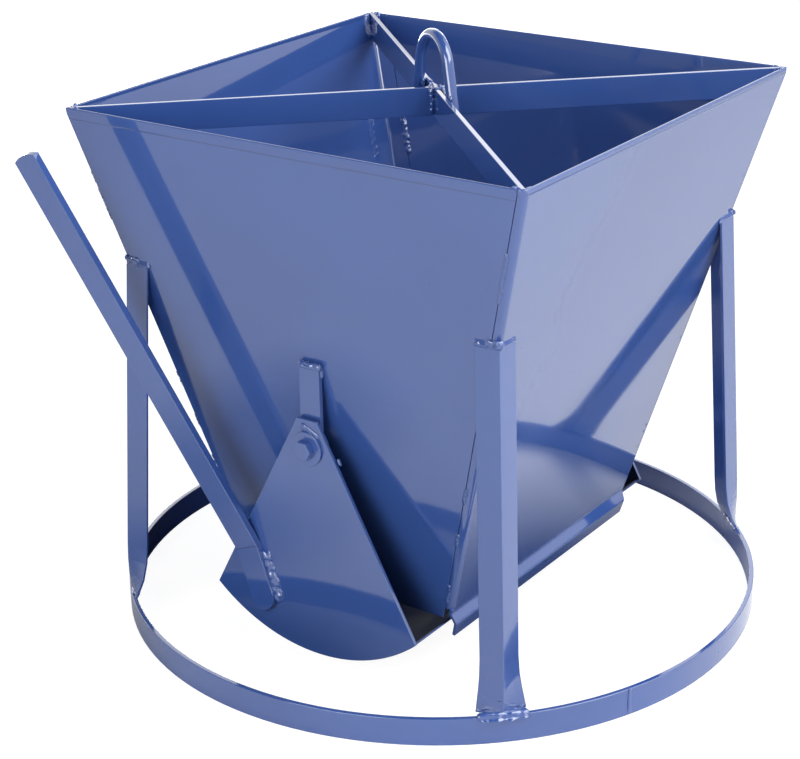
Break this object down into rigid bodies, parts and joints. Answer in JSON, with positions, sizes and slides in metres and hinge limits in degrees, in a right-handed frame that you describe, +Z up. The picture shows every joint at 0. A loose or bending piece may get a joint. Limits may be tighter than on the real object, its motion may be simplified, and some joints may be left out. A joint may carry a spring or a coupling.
{
  "type": "bottom-discharge concrete skip",
  "caption": "Open-topped sheet-steel concrete skip on angle legs and a ground ring, with crossed bars, a lifting eye and a lever-worked swinging gate under its outlet.",
  "frame": {"origin": "centre of the ground ring, on the floor", "axes": "+Z up, +X towards the lipped side plate, -Y towards the lever"},
  "size_m": [0.6999, 0.7, 0.63],
  "materials": {
    "sheet_paint": "gloss",
    "bar_paint": "gloss",
    "weld_paint": "gloss",
    "fastener_paint": "gloss"
  },
  "bodies": {
    "frame": {"hopper_front_plate": "sheet_paint", "hopper_back_plate": "sheet_paint", "hopper_right_plate": "sheet_paint", "hopper_left_plate": "sheet_paint", "cross_bar_long": "bar_paint", "cross_bar_left": "bar_paint", "cross_bar_right": "bar_paint", "lifting_eye": "bar_paint", "eye_welds": "weld_paint", "base_ring": "bar_paint", "leg_front_left": "bar_paint", "leg_front_right": "bar_paint", "leg_back_left": "bar_paint", "leg_back_right": "bar_paint", "hanger_front": "bar_paint", "hanger_back": "bar_paint", "pivot_bolt_front": "fastener_paint", "pivot_nut_front": "fastener_paint", "spacer_washer_front": "fastener_paint", "head_washer_front": "fastener_paint", "pivot_bolt_back": "fastener_paint", "pivot_nut_back": "fastener_paint", "spacer_washer_back": "fastener_paint", "head_washer_back": "fastener_paint"},
    "gate": {"gate_front_plate": "sheet_paint", "gate_back_plate": "sheet_paint", "gate_shell": "sheet_paint", "gate_lever": "bar_paint"}
  },
  "joints": [
    {"name": "gate_swing", "type": "hinge", "parent": "frame", "child": "gate", "pos_m": [0, 0, 0.25], "axis": [0, 1, 0], "range_deg": [0, 56]}
  ]
}
